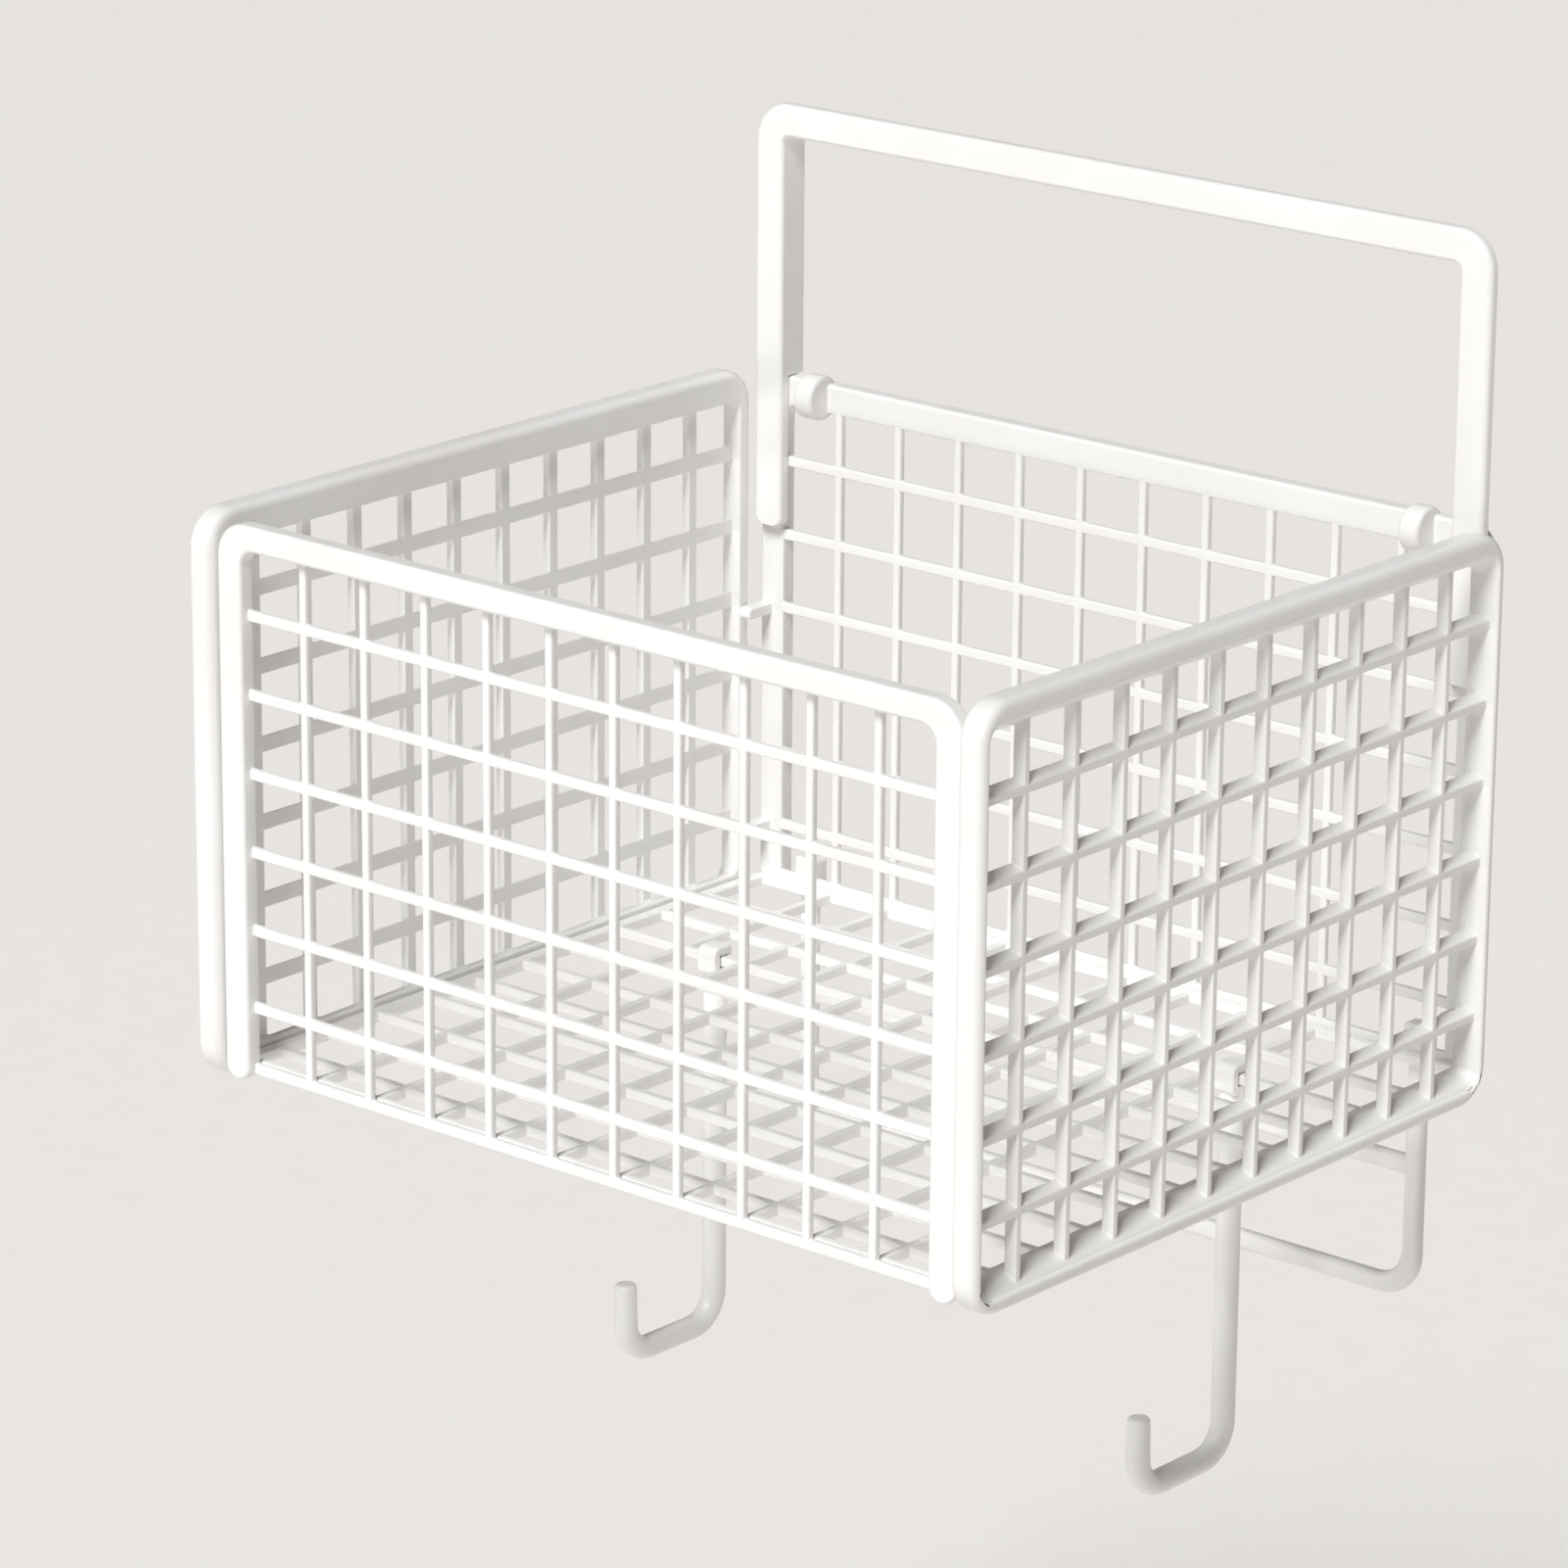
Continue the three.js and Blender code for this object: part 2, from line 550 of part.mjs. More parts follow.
// A hook about the middle of its bar: a snap jaw open to the wall side, a shank under it and a J
function hookBody() {
  const roomY = BAR_WIDTH / 2 + GAP;
  const roomZ = FLOOR_THICK / 2 + GAP;
  const out = roomZ + JAW_WALL;
  const head = roundedRect(-roomY - JAW_WALL, roomY + JAW_WALL / 2, -out, out, [2, 1, 1, 2.4]);
  const jaw = plateYZ(head, [-HOOK_ROD / 2, HOOK_ROD / 2], 0);
  const slot = block([-HOOK_ROD, HOOK_ROD], [-roomY, roomY], [-roomZ, roomZ]);
  const mouth = block([-HOOK_ROD, HOOK_ROD], [0, out + HOOK_ROD], [-JAW_MOUTH / 2, JAW_MOUTH / 2]);
  const low = -HOOK_DROP + HOOK_ROD / 2;
  const point = (y, z) => new THREE.Vector3(0, y, z);
  const bend = 0.5523 * HOOK_BEND;
  const route = new THREE.CurvePath();
  route.add(new THREE.LineCurve3(point(0, -out + 1), point(0, low + HOOK_BEND)));
  route.add(new THREE.CubicBezierCurve3(point(0, low + HOOK_BEND), point(0, low + HOOK_BEND - bend),
    point(-HOOK_BEND + bend, low), point(-HOOK_BEND, low)));
  route.add(new THREE.LineCurve3(point(-HOOK_BEND, low), point(-HOOK_REACH + HOOK_BEND, low)));
  route.add(new THREE.CubicBezierCurve3(point(-HOOK_REACH + HOOK_BEND, low),
    point(-HOOK_REACH + HOOK_BEND - bend, low), point(-HOOK_REACH, low + HOOK_BEND - bend),
    point(-HOOK_REACH, low + HOOK_BEND)));
  route.add(new THREE.LineCurve3(point(-HOOK_REACH, low + HOOK_BEND),
    point(-HOOK_REACH, -HOOK_DROP + HOOK_TIP)));
  const section = new THREE.Shape();
  for (let side = 0; side < HOOK_SIDES; side += 1) {
    const turn = (2 * Math.PI * side) / HOOK_SIDES;
    section[side ? "lineTo" : "moveTo"](HOOK_ROD / 2 * Math.cos(turn), HOOK_ROD / 2 * Math.sin(turn));
  }
  section.closePath();
  const rod = asSolid(new THREE.ExtrudeGeometry(section, {
    steps: HOOK_STEPS,
    extrudePath: route,
    bevelEnabled: false,
  }));
  return cut(jaw, [slot, mouth]).add(rod);
}

// White satin plastic
function plastic(color, roughness) {
  return new THREE.MeshStandardMaterial({ color, roughness, metalness: 0 });
}

const group = new THREE.Group();

function place(name, geometry, material) {
  const mesh = new THREE.Mesh(geometry, material);
  mesh.name = name;
  group.add(mesh);
  return mesh;
}

place("front_panel", asGeometry(frontPanel()), plastic("#f4f3ef", 0.45));
const side = asGeometry(sidePanel());
place("right_panel", side, plastic("#efede8", 0.45));
place("left_panel", side, plastic("#efede8", 0.45)).scale.x = -1;
place("back_panel", asGeometry(backPanel()), plastic("#f1efea", 0.5));
place("floor_panel", asGeometry(floorPanel()), plastic("#f1efea", 0.5));
place("hanger", asGeometry(hangerFrame()), plastic("#f4f3ef", 0.4));
place("lower_loop", asGeometry(lowerLoop()), plastic("#f4f3ef", 0.4));

for (const [word, sign] of [["left", -1], ["right", 1]]) {
  rivetPlaces().forEach((z, index) => {
    const name = "hanger_rivet_" + word + "_" + (index ? "lower" : "upper");
    place(name, rivet(), plastic("#e9e7e2", 0.5)).position.set(sign * rivetX, 0, z);
  });
}

const hookShape = asGeometry(hookBody());
for (const [word, x, bar] of [["left", HOOK_LEFT_X, HOOK_LEFT_BAR], ["right", HOOK_RIGHT_X, HOOK_RIGHT_BAR]]) {
  place("hook_" + word, hookShape, plastic("#f4f3ef", 0.4)).position.set(x, columnsY[bar], floorMiddle);
}

export default group;
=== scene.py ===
import math
import bmesh
import bpy
from mathutils import Matrix, Vector


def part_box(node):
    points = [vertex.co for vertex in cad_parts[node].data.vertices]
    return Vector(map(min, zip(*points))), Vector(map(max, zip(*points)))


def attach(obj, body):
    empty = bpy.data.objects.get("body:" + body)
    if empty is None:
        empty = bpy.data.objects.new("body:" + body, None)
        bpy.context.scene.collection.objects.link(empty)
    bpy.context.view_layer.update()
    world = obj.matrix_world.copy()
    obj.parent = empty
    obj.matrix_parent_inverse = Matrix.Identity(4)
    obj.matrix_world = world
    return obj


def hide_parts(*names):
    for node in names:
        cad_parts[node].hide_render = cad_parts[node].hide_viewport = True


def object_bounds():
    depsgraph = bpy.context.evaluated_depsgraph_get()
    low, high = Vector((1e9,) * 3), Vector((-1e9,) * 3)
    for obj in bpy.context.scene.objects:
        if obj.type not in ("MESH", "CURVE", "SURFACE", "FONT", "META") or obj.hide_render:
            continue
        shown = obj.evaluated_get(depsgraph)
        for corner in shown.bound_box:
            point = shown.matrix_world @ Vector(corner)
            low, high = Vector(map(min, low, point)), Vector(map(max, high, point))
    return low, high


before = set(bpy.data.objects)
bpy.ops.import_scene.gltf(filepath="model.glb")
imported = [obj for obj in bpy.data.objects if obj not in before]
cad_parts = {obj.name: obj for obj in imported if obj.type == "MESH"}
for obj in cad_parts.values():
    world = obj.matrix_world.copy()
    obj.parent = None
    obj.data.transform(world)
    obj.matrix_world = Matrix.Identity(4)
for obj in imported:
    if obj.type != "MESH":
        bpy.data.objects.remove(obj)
cad_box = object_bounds()

# The camera stands to the right of the basket's front and looks slightly down on its near corner.
# Its place and lens come from the grid lines of the front and the right side.
AZIMUTH = math.radians(40.55)
ELEVATION = math.radians(17.47)
ROLL = math.radians(0.43)
EYE = Vector((1.0261, -1.3263, 0.3724))  # metres
LENS = 157.37  # mm
SENSOR = 36  # mm
FARTHEST = 50  # metres that the camera sees

forward = Vector((
    -math.sin(AZIMUTH) * math.cos(ELEVATION),
    math.cos(AZIMUTH) * math.cos(ELEVATION),
    -math.sin(ELEVATION),
))
level_right = Vector((math.cos(AZIMUTH), math.sin(AZIMUTH), 0))
level_up = level_right.cross(forward)
right = math.cos(ROLL) * level_right + math.sin(ROLL) * level_up
up = right.cross(forward)
camera_data = bpy.data.cameras.new("camera")
camera_data.lens = LENS
camera_data.sensor_width = SENSOR
camera_data.clip_end = FARTHEST
camera = bpy.data.objects.new("camera", camera_data)
camera.matrix_world = Matrix.Translation(EYE) @ Matrix((right, up, -forward)).transposed().to_4x4()
bpy.context.scene.collection.objects.link(camera)
bpy.context.scene.camera = camera

# The two side panels: deep polypropylene grilles in a rounded rim. The tool's draft makes each
# opening a funnel, wider outside, and its walls meet in mitres where the bars cross. The rows' top
# faces slope steeply, so that they come out of the tool and shed what falls on them.
MM = 0.001  # metres. The sizes of the pieces are in millimetres.
PANEL_WHITE = "#f8f8f7"
PANEL_CREAM = "#f3f2f0"
PANEL_ROUGHNESS = (0.34, 0.48)
PANEL_DIMPLE = 0.05  # mm deep
PANEL_GLOW = 0.05  # the share of light that goes in a little and comes out again
POLYPROPYLENE_IOR = 1.49
EGGSHELL = 0.7  # mm between the dimples of the tool's texture
COARSER = 2  # times the real spacing, which is too fine to show
FLOW_MARK = 38  # mm between the wide, faint changes of tone where the melt flowed
HANDLING = 9  # mm between the patches that handling has dulled
TONE_SPAN = (0.25, 0.75)  # the noise's values between which the tone changes
DULL_SPAN = (0.3, 0.7)  # the noise's values between which the gloss fades
RELIEF = 0.3  # how strongly the dimples tilt the light
LIGHT_REACH = (1.0, 0.8, 0.6)  # of the glow's depth, for red, green and blue light
GLOW_DEPTH = 1.5  # mm


def linear(code):
    """An sRGB hex code as a linear colour."""
    channels = [int(code[i:i + 2], 16) / 255 for i in (1, 3, 5)]
    turned = [c / 12.92 if c <= 0.04045 else ((c + 0.055) / 1.055) ** 2.4 for c in channels]
    return (*turned, 1)


def add(tree, kind, settings, links):
    """One node. A setting goes to the socket of its name or, if there is none, to the node itself."""
    node = tree.nodes.new(kind)
    for name, value in settings.items():
        if name in node.inputs:
            node.inputs[name].default_value = value
        else:
            setattr(node, name, value)
    for name, source in links.items():
        tree.links.new(source, node.inputs[name])
    return node


def moulded_plastic(name, pale, deep, roughness, dimple_depth, glow, ior):
    """A white plastic with flow marks, handled patches and the tool's dimples. Light enters a little."""
    material = bpy.data.materials.new(name)
    material.use_nodes = True
    tree = material.node_tree
    tree.nodes.clear()
    place = add(tree, "ShaderNodeTexCoord", {}, {}).outputs["Object"]
    flow = add(tree, "ShaderNodeTexNoise",
               {"Scale": 1 / (FLOW_MARK * MM), "Detail": 1}, {"Vector": place})
    handled = add(tree, "ShaderNodeTexNoise",
                  {"Scale": 1 / (HANDLING * MM), "Detail": 2}, {"Vector": place})
    dimples = add(tree, "ShaderNodeTexNoise",
                  {"Scale": 1 / (COARSER * EGGSHELL * MM), "Detail": 2}, {"Vector": place})
    tone = add(tree, "ShaderNodeValToRGB", {}, {"Fac": flow.outputs["Fac"]})
    for stop, position, colour in zip(tone.color_ramp.elements, TONE_SPAN, (deep, pale)):
        stop.position = position
        stop.color = linear(colour)
    dulled = add(tree, "ShaderNodeMapRange", {
        "From Min": DULL_SPAN[0],
        "From Max": DULL_SPAN[1],
        "To Min": roughness[0],
        "To Max": roughness[1],
    }, {"Value": handled.outputs["Fac"]})
    relief = add(tree, "ShaderNodeBump", {"Strength": RELIEF, "Distance": dimple_depth * MM},
                 {"Height": dimples.outputs["Fac"]})
    shader = add(tree, "ShaderNodeBsdfPrincipled", {
        "IOR": ior,
        "Subsurface Weight": glow,
        "Subsurface Radius": LIGHT_REACH,
        "Subsurface Scale": GLOW_DEPTH * MM,
    }, {
        "Base Color": tone.outputs["Color"],
        "Roughness": dulled.outputs["Result"],
        "Normal": relief.outputs["Normal"],
    })
    add(tree, "ShaderNodeOutputMaterial", {}, {"Surface": shader.outputs["BSDF"]})
    return material


# Polypropylene, injection moulded. The eggshell texture of the steel tool breaks up its gloss, so it
# looks satin, with soft wide highlights and duller patches where hands have been.
panel_plastic = moulded_plastic("satin_moulded_polypropylene", PANEL_WHITE, PANEL_CREAM, PANEL_ROUGHNESS,
                                PANEL_DIMPLE, PANEL_GLOW, POLYPROPYLENE_IOR)

# The sizes of the rim and the grille. The openings' edges are the brim outside, the land where the
# bars' faces lie, and the recess inside.
SIDE_TOP_RAIL = 5.3
SIDE_POST = 3.2
SIDE_BOTTOM_RAIL = 3.9
RIM_CORNER = 9.5
RIM_ROUND = 2.2
RIM_SLOPE = 1.4
TOP_SLOPE = 3.2
LEDGE_SLOPE = 3.0
BRIM_CORNER = 4.4
BRIM_ROUND = 0.9
LAND_CORNER = 3.6
RECESS_CORNER = 2.6
RECESS_ROUND = 0.5
LAND_DEPTH = 1.9
BAR_DEPTH = 3.0
SIDE_BAR = 1.7
SIDE_BAR_BACK = 3.1
SIDE_ROW_UNDER = 1.5
SIDE_ROW_OVER = 0.5
SIDE_ROW_BACK = 4.4
SIDE_EDGE = 0.3
FIRST_SIDE_BAR = 15.3
FIRST_SIDE_ROW = 17.5
PITCH_Y = 17.94
PITCH_Z = 20.1
CORNER_STEPS = 10
ROUND_STEPS = 5
SHARP = math.radians(35)
EDGE_STEPS = 2
WELD = 0.0005  # mm within which points are one


def box_mm(node):
    low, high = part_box(node)
    return low / MM, high / MM


def pattern(first, last, pitch):
    """Places a pitch apart from the first one on, with half a pitch or more left before the last."""
    step = math.copysign(pitch, last - first)
    count = math.floor((last - first) / step - 0.5) + 1
    return [first + i * step for i in range(count)]


def edges(start, end, middles, under, over):
    """The lines of a grid: its ends and both edges of each bar."""
    lines = [start]
    for middle in sorted(middles):
        lines += [middle - under, middle + over]
    return lines + [end]


def arc(cu, cv, radius, start, end, steps):
    turns = [math.radians(start + (end - start) * i / steps) for i in range(steps + 1)]
    return [(cu + radius * math.cos(a), cv + radius * math.sin(a)) for a in turns]


def quarter(radius):
    """A rounded edge from the face to the side: each step's distance from the side and from the face."""
    turns = [math.pi / 2 * step / ROUND_STEPS for step in range(ROUND_STEPS + 1)]
    return [(radius * (1 - math.sin(a)), radius * (1 - math.cos(a))) for a in turns]


def corner_arcs(rect, radius):
    u0, u1, v0, v1 = rect
    return [arc(u0 + radius, v0 + radius, radius, 180, 270, CORNER_STEPS),
            arc(u1 - radius, v0 + radius, radius, 270, 360, CORNER_STEPS),
            arc(u1 - radius, v1 - radius, radius, 0, 90, CORNER_STEPS),
            arc(u0 + radius, v1 - radius, radius, 90, 180, CORNER_STEPS)]


class Shell:
    """One closed surface in millimetres. Its points have two coordinates in a plane and a depth."""

    def __init__(self, to_part):
        self.to_part = to_part
        self.points = []
        self.faces = []

    def ring(self, outline, w):
        start = len(self.points)
        self.points += [self.to_part(u, v, w) for u, v in outline]
        return list(range(start, len(self.points)))

    def sheet(self, us, vs, w, corner=0):
        """A net of crossings. Each is a list of one point, or of an arc's points at a round corner."""
        net = [[self.ring([(u, v)], w) for v in vs] for u in us]
        if corner:
            arcs = corner_arcs((us[0], us[-1], vs[0], vs[-1]), corner)
            rounded = [self.ring(points, w) for points in arcs]
            net[0][0], net[-1][0], net[-1][-1], net[0][-1] = rounded
        return net

    def strip(self, a, b):
        """The band of faces between two rings."""
        for i in range(len(a)):
            self.faces.append((a[i - 1], a[i], b[i], b[i - 1]))

    def close(self, first, last):
        """One face on each of two rings, turned away from each other."""
        self.faces += [tuple(reversed(first)), tuple(last)]

    def grille(self, face, back, is_open):
        """Two nets made into bars: an open cell gets walls, and the others get a face and a back."""
        for i in range(len(face) - 1):
            for j in range(len(face[0]) - 1):
                cell, behind = (net[i][j] + net[i + 1][j] + net[i + 1][j + 1] + net[i][j + 1]
                                for net in (face, back))
                if is_open(i, j):
                    self.strip(cell, behind)
                else:
                    self.close(behind, cell)


def border_of(net):
    """The points once round a net, from its first corner on."""
    crossings = [column[0] for column in net] + net[-1][1:-1]
    crossings += [column[-1] for column in reversed(net)] + net[0][-2:0:-1]
    return [point for crossing in crossings for point in crossing]


def round_outline(us, vs, rect, radius):
    """A rounded rectangle with one point for each line of the grid, in the order of the border."""
    u0, u1, v0, v1 = rect
    across = [min(max(u, u0 + radius), u1 - radius) for u in us[1:-1]]
    along = [min(max(v, v0 + radius), v1 - radius) for v in vs[1:-1]]
    sides = (
        [(u, v0) for u in across],
        [(u1, v) for v in along],
        [(u, v1) for u in reversed(across)],
        [(u0, v) for v in reversed(along)],
    )
    return [point for corner, side in zip(corner_arcs(rect, radius), sides) for point in corner + side]


def grown(rect, by):
    return rect[0] - by, rect[1] + by, rect[2] - by, rect[3] + by


def joined_mesh(name, shells):
    maker = bmesh.new()
    for shell in shells:
        corners = [maker.verts.new(Vector(p) * MM) for p in shell.points]
        for face in shell.faces:
            maker.faces.new([corners[i] for i in face])
    loose = [corner for corner in maker.verts if not corner.link_faces]
    bmesh.ops.delete(maker, geom=loose, context="VERTS")
    bmesh.ops.remove_doubles(maker, verts=maker.verts, dist=WELD * MM)
    bmesh.ops.recalc_face_normals(maker, faces=maker.faces)
    for face in maker.faces:
        face.smooth = True
    mesh = bpy.data.meshes.new(name)
    maker.to_mesh(mesh)
    maker.free()
    return mesh


def make_piece(name, shells, body, material, edge=0):
    mesh = joined_mesh(name + "_moulding", shells)
    mesh.materials.append(material)
    piece = bpy.data.objects.new(mesh.name, mesh)
    bpy.context.scene.collection.objects.link(piece)
    if edge:
        bevel = piece.modifiers.new("softened_edges", "BEVEL")
        bevel.width = edge * MM
        bevel.segments = EDGE_STEPS
        bevel.limit_method = "ANGLE"
        bevel.angle_limit = SHARP
        bevel.use_clamp_overlap = False
    piece.modifiers.new("even_shading", "WEIGHTED_NORMAL")
    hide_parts(name)
    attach(piece, body)


right_low, right_high = box_mm("right_panel")
INNER_X, OUTER_X = right_low.x, right_high.x
SIDE_FRONT, SIDE_BACK = right_low.y, right_high.y
SIDE_BOTTOM, SIDE_TOP = right_low.z, right_high.z
LAND_X = OUTER_X - LAND_DEPTH
BAR_BACK_X = LAND_X - BAR_DEPTH
side_bars = pattern(SIDE_FRONT + SIDE_POST + FIRST_SIDE_BAR, SIDE_BACK - SIDE_POST, PITCH_Y)
side_rows = pattern(SIDE_TOP - SIDE_TOP_RAIL - FIRST_SIDE_ROW, SIDE_BOTTOM + SIDE_BOTTOM_RAIL, PITCH_Z)


def rim_opening(x):
    """The edge of the whole opening at a depth. The draft makes it smaller towards the inside."""
    share = (OUTER_X - x) / (LAND_DEPTH + BAR_DEPTH)
    return (
        SIDE_FRONT + SIDE_POST + RIM_SLOPE * share,
        SIDE_BACK - SIDE_POST - RIM_SLOPE * share,
        SIDE_BOTTOM + SIDE_BOTTOM_RAIL + LEDGE_SLOPE * share,
        SIDE_TOP - SIDE_TOP_RAIL - TOP_SLOPE * share,
    )


for side, name in ((1, "right_panel"), (-1, "left_panel")):
    shell = Shell(lambda u, v, w, side=side: (side * w, u, v))
    u0, u1, v0, v1 = rim_opening(LAND_X)
    land_us = edges(u0, u1, side_bars, SIDE_BAR / 2, SIDE_BAR / 2)
    land_vs = edges(v0, v1, side_rows, SIDE_ROW_UNDER, SIDE_ROW_OVER)
    u0, u1, v0, v1 = rim_opening(BAR_BACK_X)
    back_us = edges(u0, u1, side_bars, SIDE_BAR_BACK / 2, SIDE_BAR_BACK / 2)
    back_vs = edges(v0, v1, side_rows, SIDE_ROW_BACK / 2, SIDE_ROW_BACK / 2)
    land = shell.sheet(land_us, land_vs, LAND_X, LAND_CORNER)
    back = shell.sheet(back_us, back_vs, BAR_BACK_X, RECESS_CORNER)
    shell.grille(land, back, lambda i, j: i % 2 == 0 and j % 2 == 0)
    brim = rim_opening(OUTER_X)
    recess = rim_opening(BAR_BACK_X)
    rim = (SIDE_FRONT, SIDE_BACK, SIDE_BOTTOM, SIDE_TOP)
    stations = [(grown(brim, out), BRIM_CORNER + out, OUTER_X - down)
                for down, out in quarter(BRIM_ROUND)]
    stations += [(grown(rim, -inset), RIM_CORNER - inset, OUTER_X - down)
                 for inset, down in quarter(RIM_ROUND)]
    stations += [(grown(rim, -inset), RIM_CORNER - inset, INNER_X + down)
                 for inset, down in reversed(quarter(RIM_ROUND))]
    stations += [(grown(recess, out), RECESS_CORNER + out, INNER_X + down)
                 for down, out in reversed(quarter(RECESS_ROUND))]
    rings = [border_of(land)]
    rings += [shell.ring(round_outline(land_us, land_vs, rect, radius), x) for rect, radius, x in stations]
    rings.append(border_of(back))
    for a, b in zip(rings, rings[1:]):
        shell.strip(a, b)
    make_piece(name, [shell], "basket", panel_plastic, SIDE_EDGE)

# The front panel: a flat polypropylene moulding, an inverted U of rails and posts with a thin grid
# set back between them. Its posts end in rounded feet just below the thin bottom rail.
POST = 7.8
FRONT_RAIL = 6.6
FRAME_CORNER = 9.0
FRAME_INNER = 4.2
FRAME_ROUND = 1.0
FRAME_STEPS = 8
FOOT = 3.7
FOOT_LENGTH = 1.5
GRID_THICK = 2.0
GRID_EDGE = 0.45
BAR = 2.2
ROW = 2.8
FIRST_ROW = 16.9
PITCH_X = 20.0
COLUMNS = 10
ROOM = 0.3  # mm between pieces that snap together
SUNK = 0.05  # mm that a grid's face lies behind its frame's, so that the two never share a plane
EMBED = 2.0  # mm that a grid reaches into its frame


def arch(half, low, high, leg, rail, outer, inner, foot):
    """The outline of an inverted U, as a function of how far it is drawn in."""

    def outline(inset):
        side, base, top = half - inset, low + inset, high - inset
        inside, under = half - leg + inset, high - rail + inset
        toe, bend, nook = foot - inset, outer - inset, inner + inset
        return (
            arc(-side + toe, base + toe, toe, 180, 270, FRAME_STEPS)
            + arc(-inside - toe, base + toe, toe, 270, 360, FRAME_STEPS)
            + arc(-inside + nook, under - nook, nook, 180, 90, FRAME_STEPS)
            + arc(inside - nook, under - nook, nook, 90, 0, FRAME_STEPS)
            + arc(inside + toe, base + toe, toe, 180, 270, FRAME_STEPS)
            + arc(side - toe, base + toe, toe, 270, 360, FRAME_STEPS)
            + arc(side - bend, top - bend, bend, 0, 90, CORNER_STEPS)
            + arc(-side + bend, top - bend, bend, 90, 180, CORNER_STEPS)
        )

    return outline


def moulding(outline, w0, w1, round0, round1, to_part):
    """An outline given depth, with the edges of its two faces rounded."""
    shell = Shell(to_part)
    rings = [shell.ring(outline(inset), w0 + down) for inset, down in quarter(round0)]
    rings += [shell.ring(outline(inset), w1 - down) for inset, down in reversed(quarter(round1))]
    for a, b in zip(rings, rings[1:]):
        shell.strip(a, b)
    shell.close(rings[0], rings[-1])
    return shell


def flat_grille(us, vs, w0, w1, to_part):
    """A thin grid whose outermost strips are rails."""
    shell = Shell(to_part)
    face = shell.sheet(us, vs, w0)
    back = shell.sheet(us, vs, w1)
    shell.grille(face, back, lambda i, j: i % 2 == 1 and j % 2 == 1)
    shell.strip(border_of(face), border_of(back))
    return shell


def upright(u, v, w):
    return u, w, v


front_low, front_high = box_mm("front_panel")
FRAME_HALF = INNER_X - ROOM
OPEN_HALF = FRAME_HALF - POST
FRONT_TOP = front_high.z
RAIL_BOTTOM = front_low.z + FOOT_LENGTH
columns = [PITCH_X * (i - (COLUMNS - 1) / 2) for i in range(COLUMNS)]
front_rows = pattern(FRONT_TOP - FRONT_RAIL - FIRST_ROW, RAIL_BOTTOM + ROW / 2, PITCH_Z)


def grid_lines(top, rail, bottom_rail):
    """The lines of a frame's grid across and up, with the strips that reach into the frame."""
    us = edges(-OPEN_HALF - SUNK, OPEN_HALF + SUNK, columns, BAR / 2, BAR / 2)
    vs = edges(RAIL_BOTTOM + bottom_rail, top - rail + SUNK, front_rows, ROW / 2, ROW / 2)
    return [us[0] - EMBED] + us + [us[-1] + EMBED], [RAIL_BOTTOM] + vs + [vs[-1] + EMBED]


front_arch = arch(FRAME_HALF, front_low.z, FRONT_TOP, POST, FRONT_RAIL, FRAME_CORNER, FRAME_INNER, FOOT)
front_shells = [
    moulding(front_arch, front_low.y, front_high.y, FRAME_ROUND, FRAME_ROUND / 2, upright),
    flat_grille(*grid_lines(FRONT_TOP, FRONT_RAIL, ROW), front_high.y - GRID_THICK,
                front_high.y - SUNK, upright),
]
make_piece("front_panel", front_shells, "basket", panel_plastic, GRID_EDGE)

# The back panel: the front's partner at the wall side, with a taller top rail, sockets for the lower
# loop, four snap arms that reach the side panels, and two round lugs on its top rail. Its posts have
# stepped holes from the wall side, so that the rivets' heads lie flush.
BACK_RAIL = 7.8
BACK_BOTTOM_RAIL = 4.6
BACK_CLEARANCE = 3.6
FRAME_THICK = 4.5
LUG_DIAMETER = 12.0
LUG_WIDTH = 6.0
LUG_ROUND = 1.2
LUG_X = 96.7
LUG_RISE = 2.5
SOCKET_HALF = 3.7
SOCKET_HEIGHT = 9.9
SOCKET_CORNER = 1.2
LOOP_LIMB_X = 99.8
ARM_WIDTH = 3.9
ARM_HEIGHT = 3.0
ARM_REACH = 5.2
ARM_ROOT = 1.0  # mm that an arm reaches into the post
ARM_CORNER = 1.0
ARM_ROUND = 0.4
ARM_ROWS = (2, -1)  # the side panels' rows that the arms reach
RIVET_SHANK = 1.4
RIVET_HEAD_THICK = 1.4
OVERRUN = 1.0  # mm that a drill goes past both faces of the post
SMALL_STEPS = 4
TURN_STEPS = 32


def rectangle(u0, u1, v0, v1, corner):
    """The outline of a rectangle with round corners, as a function of how far it is drawn in."""
    left, right, under, over = u0 + corner, u1 - corner, v0 + corner, v1 - corner

    def outline(inset):
        radius = corner - inset
        return (
            arc(right, over, radius, 0, 90, SMALL_STEPS)
            + arc(left, over, radius, 90, 180, SMALL_STEPS)
            + arc(left, under, radius, 180, 270, SMALL_STEPS)
            + arc(right, under, radius, 270, 360, SMALL_STEPS)
        )

    return outline


def disc(cu, cv, radius):
    return lambda inset: arc(cu, cv, radius - inset, 0, 360, TURN_STEPS)[1:]


def turned(profile, x, z):
    """A profile of radius and Y turned about an axis through X and Z."""
    shell = Shell(upright)
    rings = [shell.ring(disc(x, z, radius)(0), y) for radius, y in profile]
    for a, b in zip(rings, rings[1:]):
        shell.strip(a, b)
    shell.close(rings[0], rings[-1])
    return shell


